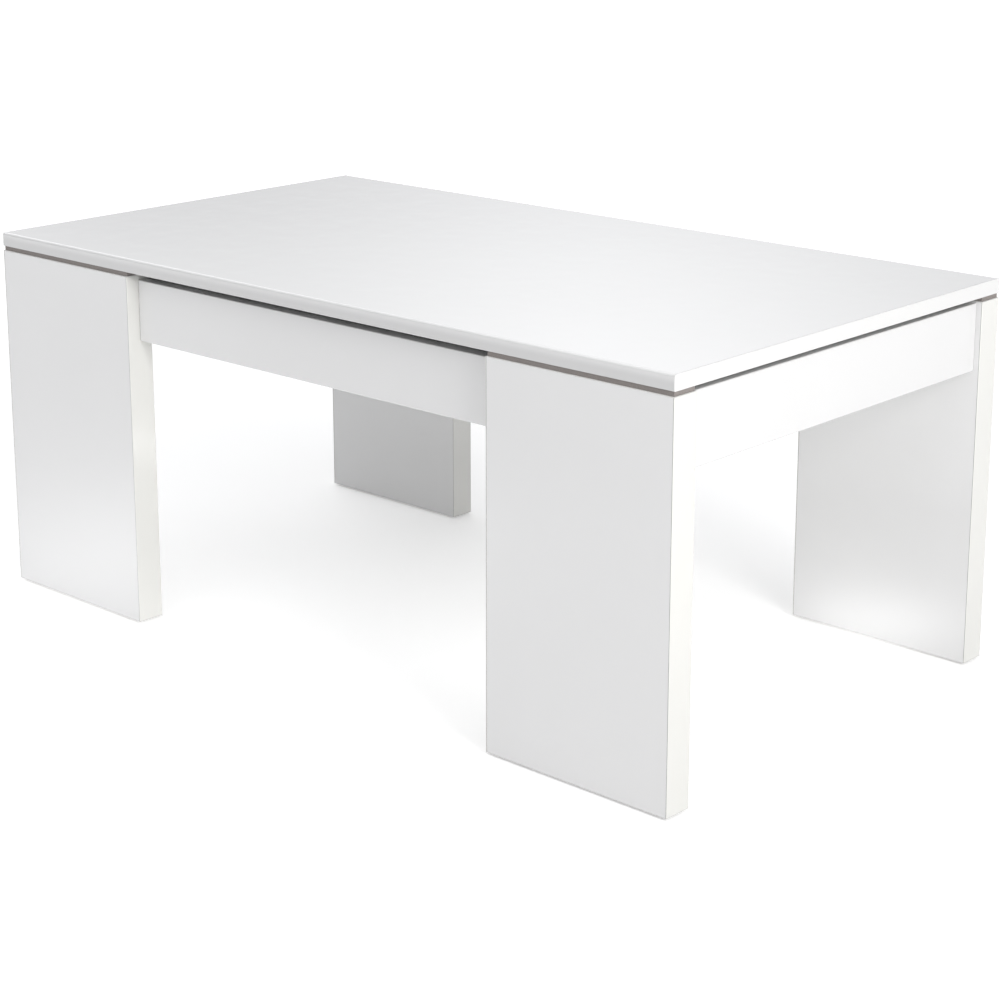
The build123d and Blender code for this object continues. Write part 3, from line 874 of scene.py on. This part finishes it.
def top_pin(length):
    """A pin with a domed head and a peened tail."""
    shank = [(PIN_R, SHORT_HEAD), (PIN_R, length - PEEN_T)]
    tail = [(PEEN_R, length - PEEN_T), (PEEN_R, length - 0.6), (PEEN_R - 0.9, length - 0.1), (0, length)]
    return domed(RIVET_R, SHORT_HEAD) + shank + tail


def spring_stud(length):
    """A stud with a groove where the spring's tail lies."""
    return domed(STUD_HEAD_R, STUD_HEAD) + [
        (STUD_R, STUD_HEAD), (STUD_R, 7.0), (GROOVE_R, 7.4), (GROOVE_R, 12.6), (STUD_R, 13.0),
        (STUD_R, length), (0, length),
    ]


def stop_stud(length):
    """A stud with a thick round head that an arm comes to rest against."""
    return [
        (0, 0), (3.0, 0.05), (3.7, 0.3), (STUD_HEAD_R, 0.8), (STUD_HEAD_R, 5.1), (3.7, 5.5),
        (STUD_R, 5.5), (STUD_R, length - 0.3), (STUD_R - 0.3, length), (0, length),
    ]


screws()
turned("front_pivot_rivets", "front_pivot_pins", "base", pivot_pin(LONG_HEAD))
turned("rear_pivot_rivets", "rear_pivot_pins", "base", pivot_pin(SHORT_HEAD))
turned("top_front_rivets", "top_pins_front", "top", top_pin)
turned("top_rear_rivets", "top_pins_rear", "top", top_pin)
turned("spring_stud_rivets", "arm_spring_studs", "front_arms", spring_stud)
turned("stop_stud_rivets", "open_stop_studs", "base", stop_stud)


# ------------------------------------------------------------------ lift mechanism
PLATE_T, RAIL_T = 3.0, 2.0
BEND_INNER = 1.0
PIVOT_HOLE = 4.1
SCREW_HOLE = 2.2
SOFTEN = 0.4
SHARP = 0.6  # corner radius of a sheet where it meets a bend or is cut square
PLATE_CORNER, FOOT_CORNER, RAIL_CORNER, FLANGE_CORNER = 10, 8, 8, 5
RAIL_WEB_Y = (40.0, 175.0)


def bend(bm, side, web_face, web_back, corner_z, up, y_range):
    """The bent corner of an angle: a quarter of a thick tube along Y.

    up is the way from the corner to the web, 1 or -1.
    """
    thickness = web_back - web_face
    centre = (web_face - BEND_INNER, corner_z + up * (thickness + BEND_INNER))
    inner = arc((0, 0), BEND_INNER, 0, -90, 6)
    outer = arc((0, 0), BEND_INNER + thickness, -90, 0, 6)
    section = [(side * (centre[0] + x), centre[1] + up * z) for x, z in inner + outer]
    ends = [[bm.verts.new(Vector((x, y, z))) for x, z in section] for y in y_range]
    walls(bm, *ends)
    for ring in ends:
        bm.faces.new(ring)


def flat(side, z):
    """A matrix for a sheet that lies level, seen from above, on one side of the table."""
    return Matrix(((side, 0, 0, 0), (0, 1, 0, 0), (0, 0, 1, z), (0, 0, 0, 1)))


def screw_holes(node, side, along_x):
    """Holes (x, y, radius) for one side's screws, in the plane of the sheet that they go through."""
    holes = []
    for low, high in solids(node):
        size = high - low
        x, y, z = ((a + b) / 2 for a, b in zip(low, high))
        if x * side > 0 and (size.x > size.z) == along_x:
            holes.append((y, z, SCREW_HOLE) if along_x else (abs(x), y, SCREW_HOLE))
    return holes


def base_plate(hand):
    """The bracket on the side apron: a web with the pivots and a foot on the storage floor."""
    side, node = SIDES[hand], f"lift_base_{hand}"
    low, high = box(node)
    inner, outer = sorted((abs(low.x), abs(high.x)))
    face = outer - PLATE_T
    corner = PLATE_T + BEND_INNER - SOFTEN
    front, rear = PIVOTS["lift"], PIVOTS["rear_arm_left_pivot"]
    bm = bmesh.new()
    web = rounded_box(
        (low.y, low.z + corner), (high.y, high.z), (SHARP, SHARP, PLATE_CORNER, PLATE_CORNER), 8,
    )
    holes = [(front.y, front.z, PIVOT_HOLE), (rear.y, rear.z, PIVOT_HOLE)]
    holes += screw_holes("base_plate_screws", side, True)
    sheet(bm, upright(side, face), PLATE_T, web, holes, SOFTEN)
    foot = rounded_box(
        (inner, low.y), (outer - corner, high.y), (FOOT_CORNER, SHARP, SHARP, FOOT_CORNER), 8,
    )
    sheet(bm, flat(side, low.z), PLATE_T, foot, screw_holes("base_plate_screws", side, False), SOFTEN)
    bend(bm, side, face, outer, low.z, 1, (low.y, high.y))
    finish(f"{node}_bracket", bm, "grey_coated_steel", "base", [node])


def top_rail(hand):
    """The angle under the top: a flange screwed up into it and a web that carries the top pivots."""
    side, node = SIDES[hand], f"top_rail_{hand}"
    low, high = box(node)
    inner, outer = sorted((abs(low.x), abs(high.x)))
    corner = RAIL_T + BEND_INNER - SOFTEN
    pivot = PIVOTS["top_level"]
    rear_y = pivot.y + PIVOTS["rear_arm_left_pivot"].y - PIVOTS["lift"].y
    web_start, web_end = RAIL_WEB_Y
    bm = bmesh.new()
    web = rounded_box(
        (web_start, low.z), (web_end, high.z - corner), (RAIL_CORNER, RAIL_CORNER, SHARP, SHARP), 8,
    )
    pivots = [(pivot.y, pivot.z, PIVOT_HOLE), (rear_y, pivot.z, PIVOT_HOLE)]
    sheet(bm, upright(side, outer - RAIL_T), RAIL_T, web, pivots, SOFTEN)
    level = flat(side, high.z - RAIL_T)
    flange = rounded_box(
        (inner, low.y), (outer - corner, high.y), (FLANGE_CORNER, SHARP, SHARP, FLANGE_CORNER), 6,
    )
    sheet(bm, level, RAIL_T, flange, screw_holes("top_rail_screws", side, False), SOFTEN)
    bend(bm, side, outer - RAIL_T, outer, high.z, -1, RAIL_WEB_Y)
    for start, end in ((low.y, web_start), (web_end, high.y)):
        lip = rounded_box((outer - corner - 1, start), (outer, end), (SHARP,) * 4, 4)
        sheet(bm, level, RAIL_T, lip, (), SOFTEN)
    finish(f"{node}_angle", bm, "grey_coated_steel", "top", [node])


ARM_W, ARM_T, ARM_SOFTEN = 16.0, 3.0, 0.6
BUSH_HOLE = 5.0
RIB_FROM, RIB_TO = 46.0, 118.0
RIB_W, RIB_H = 6.0, 0.8


def arm(hand, kind, base, top, body):
    """A pressed arm between two pivots: a flat bar with round ends, bush holes and a stiffening rib."""
    side, node = SIDES[hand], f"{kind}_arm_{hand}"
    low, high = box(node)
    face = min(abs(low.x), abs(high.x))
    a, b = (base.y, base.z), (top.y, top.z)
    along = Vector((b[0] - a[0], b[1] - a[1])).normalized()
    bm = bmesh.new()
    sheet(
        bm, upright(side, face), ARM_T, slot_outline(a, b, ARM_W / 2),
        [(*a, BUSH_HOLE), (*b, BUSH_HOLE)], ARM_SOFTEN,
    )
    rib = slot_outline(
        tuple(Vector(a) + along * RIB_FROM), tuple(Vector(a) + along * RIB_TO), RIB_W / 2, 8,
    )
    levels = [(0.5, 0), (-0.1, 0.1), (-0.45, 0.4), (-0.7, 0.9), (-RIB_H, 1.6)]
    stack(bm, upright(side, face), rib, levels)
    finish(f"{node}_bar", bm, "grey_coated_steel", body, [node])


def cross_tube():
    """The tube that joins the front arms, with a weld bead at each arm."""
    low, high = box("cross_tube")
    centre, radius, length = (low + high) / 2, (high - low).z / 2, (high - low).x
    bead = [(radius + 1.6, 0), (radius + 1.5, 0.7), (radius + 1.0, 1.5), (radius + 0.3, 2.1), (radius, 2.4)]
    mirrored = [(r, length - h) for r, h in reversed(bead)]
    bore = [(radius - 1.2, length), (radius - 1.2, 0)]
    bm = bmesh.new()
    place = aim(Vector((low.x, centre.y, centre.z)), X_AXIS)
    lathe(bm, place, bead + mirrored + bore, closed=True, segments=48)
    finish("cross_tube_welded", bm, "grey_coated_steel", "front_arms", ["cross_tube"])


WIRE_R = 1.25
SPRING_R = 6.6
TURNS, STEPS_PER_TURN = 7, 28
ARM_REACH = 36.0
FOOT_REACH = 27.0


def torsion_spring(hand):
    """A wound spring round the front pivot: one tail rests on the bracket's foot, one lifts the arm."""
    side, node = SIDES[hand], f"torsion_spring_{hand}"
    low, high = box(node)
    pivot, top = PIVOTS["lift"], PIVOTS["top_level"]
    inner, outer = sorted((abs(low.x), abs(high.x)))
    foot_top = box(f"lift_base_{hand}")[0].z + PLATE_T
    rise = math.atan2(top.z - pivot.z, top.y - pivot.y)
    start_x, end_x = inner + WIRE_R, outer - WIRE_R

    rest = Vector((-FOOT_REACH, foot_top + WIRE_R - pivot.z))
    reach = rest.length
    leave = math.atan2(rest.y, rest.x) + math.acos(SPRING_R / reach)
    arrive = rise - math.pi / 2 + 2 * math.pi * TURNS
    while arrive - leave > 2 * math.pi * TURNS:
        leave += 2 * math.pi

    points = [(side * start_x, pivot.y + rest.x, pivot.z + rest.y)]
    steps = STEPS_PER_TURN * TURNS
    for step in range(steps + 1):
        t = step / steps
        angle = leave + (arrive - leave) * t
        x = start_x + (end_x - start_x) * t
        points.append((side * x, pivot.y + SPRING_R * math.cos(angle), pivot.z + SPRING_R * math.sin(angle)))
    tip = Vector((math.cos(rise), math.sin(rise))) * ARM_REACH
    points.append((side * end_x, points[-1][1] + tip.x, points[-1][2] + tip.y))
    bm = bmesh.new()
    wire(bm, points, WIRE_R)
    piece = finish(f"{node}_coil", bm, "spring_steel", None, [node], sharp=60.0, even=False)
    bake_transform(piece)


rear_top = PIVOTS["top_level"] + PIVOTS["rear_arm_left_pivot"] - PIVOTS["lift"]
for hand in SIDES:
    base_plate(hand)
    top_rail(hand)
    arm(hand, "front", PIVOTS["lift"], PIVOTS["top_level"], "front_arms")
    arm(hand, "rear", PIVOTS[f"rear_arm_{hand}_pivot"], rear_top, f"rear_arm_{hand}")
    torsion_spring(hand)
cross_tube()

# The CAD nodes that nothing stands for keep their meshes, with the materials above.
for name, obj in NODES.items():
    if not obj.hide_render:
        obj.data.materials.clear()
        obj.data.materials.append(MATERIALS[SLOT_OF[name]])


# ------------------------------------------------------------------ stage, light and camera
FLOOR_LEVEL, FLOOR_R = -0.0005, 30.0
SEEN_GLOW, SEEN_SKY = 0.30, 0.90  # what the camera sees of the floor's glow and of the backdrop
FAR_GLOW, FAR_REACH = 0.27, 2.2
# A painted pool of light on the floor, a glow with no lamp, is (place, reach, strength), in metres.
POOLS = [
    ((-0.40, -0.55), 0.30, 0.67),
    ((0.36, 0.17), 0.10, 0.86),
    ((0.00, 0.00), 1.00, 0.075),
]
# A lobe of the backdrop is ((turn, height) in degrees, sharpness, strength).
WORLD_LOBES = [
    ((0, 8), 8, 0.90),
    ((90, 8), 8, 0.85),
    ((135, 8), 8, 0.31),
    ((135, 42), 8, 0.57),
    ((180, 42), 8, 1.00),
    ((225, 42), 8, 0.10),
    ((270, 42), 8, 0.89),
    ((315, 42), 8, 1.00),
    ((0, 90), 8, 0.80),
    ((130, 16), 80, 0.56),
    ((150, 16), 80, 0.48),
    ((150, 26), 80, 1.00),
    ((175, 16), 80, 1.00),
    ((175, 26), 80, 1.00),
    ((316, 14), 80, 0.60),
]
SKY_TINT, KEY_TINT = (0.984, 0.987, 1.0), (1.0, 0.990, 0.975)
KEY_DISTANCE, KEY_AIM = 2.6, Vector((0, 0, 0.25))
# A soft light is (turn, height, size, power).
KEY_LIGHTS = [
    (-20, 24, 0.7, 17.3),
    (-8, 24, 0.7, 8.0),
    (-100, 60, 1.2, 1.6),
]


def maths(tree, operation, *values):
    """A chain link of math nodes: sockets are linked, numbers are set."""
    node = tree.nodes.new("ShaderNodeMath")
    node.operation = operation
    for socket, value in zip(node.inputs, values):
        if isinstance(value, bpy.types.NodeSocket):
            tree.links.new(value, socket)
        else:
            socket.default_value = value
    return node.outputs[0]


def vector_maths(tree, operation, source, vector, output):
    """A vector math node between a socket and a fixed vector."""
    node = tree.nodes.new("ShaderNodeVectorMath")
    node.operation = operation
    tree.links.new(source, node.inputs[0])
    node.inputs[1].default_value = vector
    return node.outputs[output]


def falloff(tree, away, reach, power):
    """1 at no distance, and fading out around a reach; a high power makes the fade abrupt."""
    return maths(tree, "EXPONENT", maths(
        tree, "MULTIPLY", maths(tree, "POWER", maths(tree, "DIVIDE", away, reach), power), -1,
    ))


def bearing(turn, height):
    """A direction from a turn about the Z axis and a height above the floor, in degrees."""
    a, e = math.radians(turn), math.radians(height)
    return Vector((math.cos(a) * math.cos(e), math.sin(a) * math.cos(e), math.sin(e)))


def stage():
    """A wide pale floor that glows in painted pools of light, where no lamp shines.

    The camera sees an even glow in place of the pools.
    """
    bm = bmesh.new()
    bmesh.ops.create_circle(bm, cap_ends=True, radius=FLOOR_R, segments=128)
    s = Shader("studio_floor")
    glow = 0.0
    seen = s.tree.nodes.new("ShaderNodeLightPath").outputs["Is Camera Ray"]
    for (x, y), reach, strength in POOLS:
        away = vector_maths(s.tree, "DISTANCE", s.place, (x, y, 0), "Value")
        pool = maths(s.tree, "MULTIPLY", falloff(s.tree, away, reach, 2), strength)
        glow = maths(s.tree, "ADD", pool, glow)
    unseen = maths(s.tree, "MULTIPLY", glow, maths(s.tree, "SUBTRACT", 1.0, seen))
    glow = maths(s.tree, "ADD", unseen, maths(s.tree, "MULTIPLY", seen, SEEN_GLOW))
    away = vector_maths(s.tree, "DISTANCE", s.place, (0, 0, 0), "Value")
    near = falloff(s.tree, away, FAR_REACH, 4)
    far = maths(s.tree, "MULTIPLY", maths(s.tree, "SUBTRACT", 1.0, near), FAR_GLOW)
    glow = maths(s.tree, "ADD", far, glow)
    tone = s.tones(s.noise(1.2), (0.90, 0.90, 0.90), (0.92, 0.92, 0.92))
    s.done(
        Base_Color=tone, Roughness=0.6, Specular_IOR_Level=0.2,
        Emission_Color=(1.0, 1.0, 1.0, 1.0), Emission_Strength=glow,
    )
    mesh = bpy.data.meshes.new("studio_floor")
    bm.to_mesh(mesh)
    bm.free()
    mesh.materials.append(s.material)
    floor = bpy.data.objects.new("studio_floor", mesh)
    bpy.context.scene.collection.objects.link(floor)
    floor.location.z = FLOOR_LEVEL


def world():
    """A white backdrop that lights the table softly, in smooth lobes about some directions.

    The camera sees it no darker than SEEN_SKY.
    """
    w = bpy.data.worlds.new("studio")
    bpy.context.scene.world = w
    w.use_nodes = True
    tree = w.node_tree
    place = tree.nodes.new("ShaderNodeTexCoord").outputs["Generated"]
    level = 0.0
    for (turn, height), sharpness, strength in WORLD_LOBES:
        cosine = vector_maths(tree, "DOT_PRODUCT", place, bearing(turn, height), "Value")
        facing = maths(tree, "MAXIMUM", cosine, 0.0)
        lobe = maths(tree, "MULTIPLY", maths(tree, "POWER", facing, sharpness), strength)
        level = maths(tree, "ADD", lobe, level)
    seen = tree.nodes.new("ShaderNodeLightPath").outputs["Is Camera Ray"]
    level = maths(tree, "MAXIMUM", level, maths(tree, "MULTIPLY", seen, SEEN_SKY))
    tree.links.new(level, tree.nodes["Background"].inputs["Strength"])
    tree.nodes["Background"].inputs["Color"].default_value = (*SKY_TINT, 1.0)


def softbox(turn, height, size, power):
    """A square soft light aimed at the table's middle, from a direction in degrees."""
    place = KEY_AIM + KEY_DISTANCE * bearing(turn, height)
    data = bpy.data.lights.new("softbox", "AREA")
    data.shape = "SQUARE"
    data.size = size
    data.energy = power
    data.color = KEY_TINT
    lamp = bpy.data.objects.new("softbox", data)
    lamp.location = place
    lamp.rotation_euler = (KEY_AIM - place).to_track_quat("-Z", "Y").to_euler()
    lamp.visible_camera = False
    lamp.visible_glossy = False
    bpy.context.scene.collection.objects.link(lamp)


AZIMUTH, ELEVATION = math.radians(42.285), math.radians(13.777)
DISTANCE, RIGHT_SHIFT, UP_SHIFT = 2.6383, 0.0263, 0.3102
LENS, SENSOR_W, LENS_SHIFT = 81.535, 36.0, -0.15


def camera():
    """The photo's camera, with a part of its upward shift."""
    back = Vector((
        math.sin(AZIMUTH) * math.cos(ELEVATION),
        -math.cos(AZIMUTH) * math.cos(ELEVATION),
        math.sin(ELEVATION),
    ))
    right = Vector((math.cos(AZIMUTH), math.sin(AZIMUTH), 0))
    up = back.cross(right)
    data = bpy.data.cameras.new("camera")
    data.lens = LENS
    data.sensor_width = SENSOR_W
    data.shift_y = LENS_SHIFT
    cam = bpy.data.objects.new("camera", data)
    cam.matrix_world = Matrix((right, up, back)).transposed().to_4x4()
    cam.location = back * DISTANCE + right * RIGHT_SHIFT + up * UP_SHIFT
    bpy.context.scene.collection.objects.link(cam)
    bpy.context.scene.camera = cam


stage()
world()
for light in KEY_LIGHTS:
    softbox(*light)
camera()
bpy.context.scene.view_settings.view_transform = "Standard"
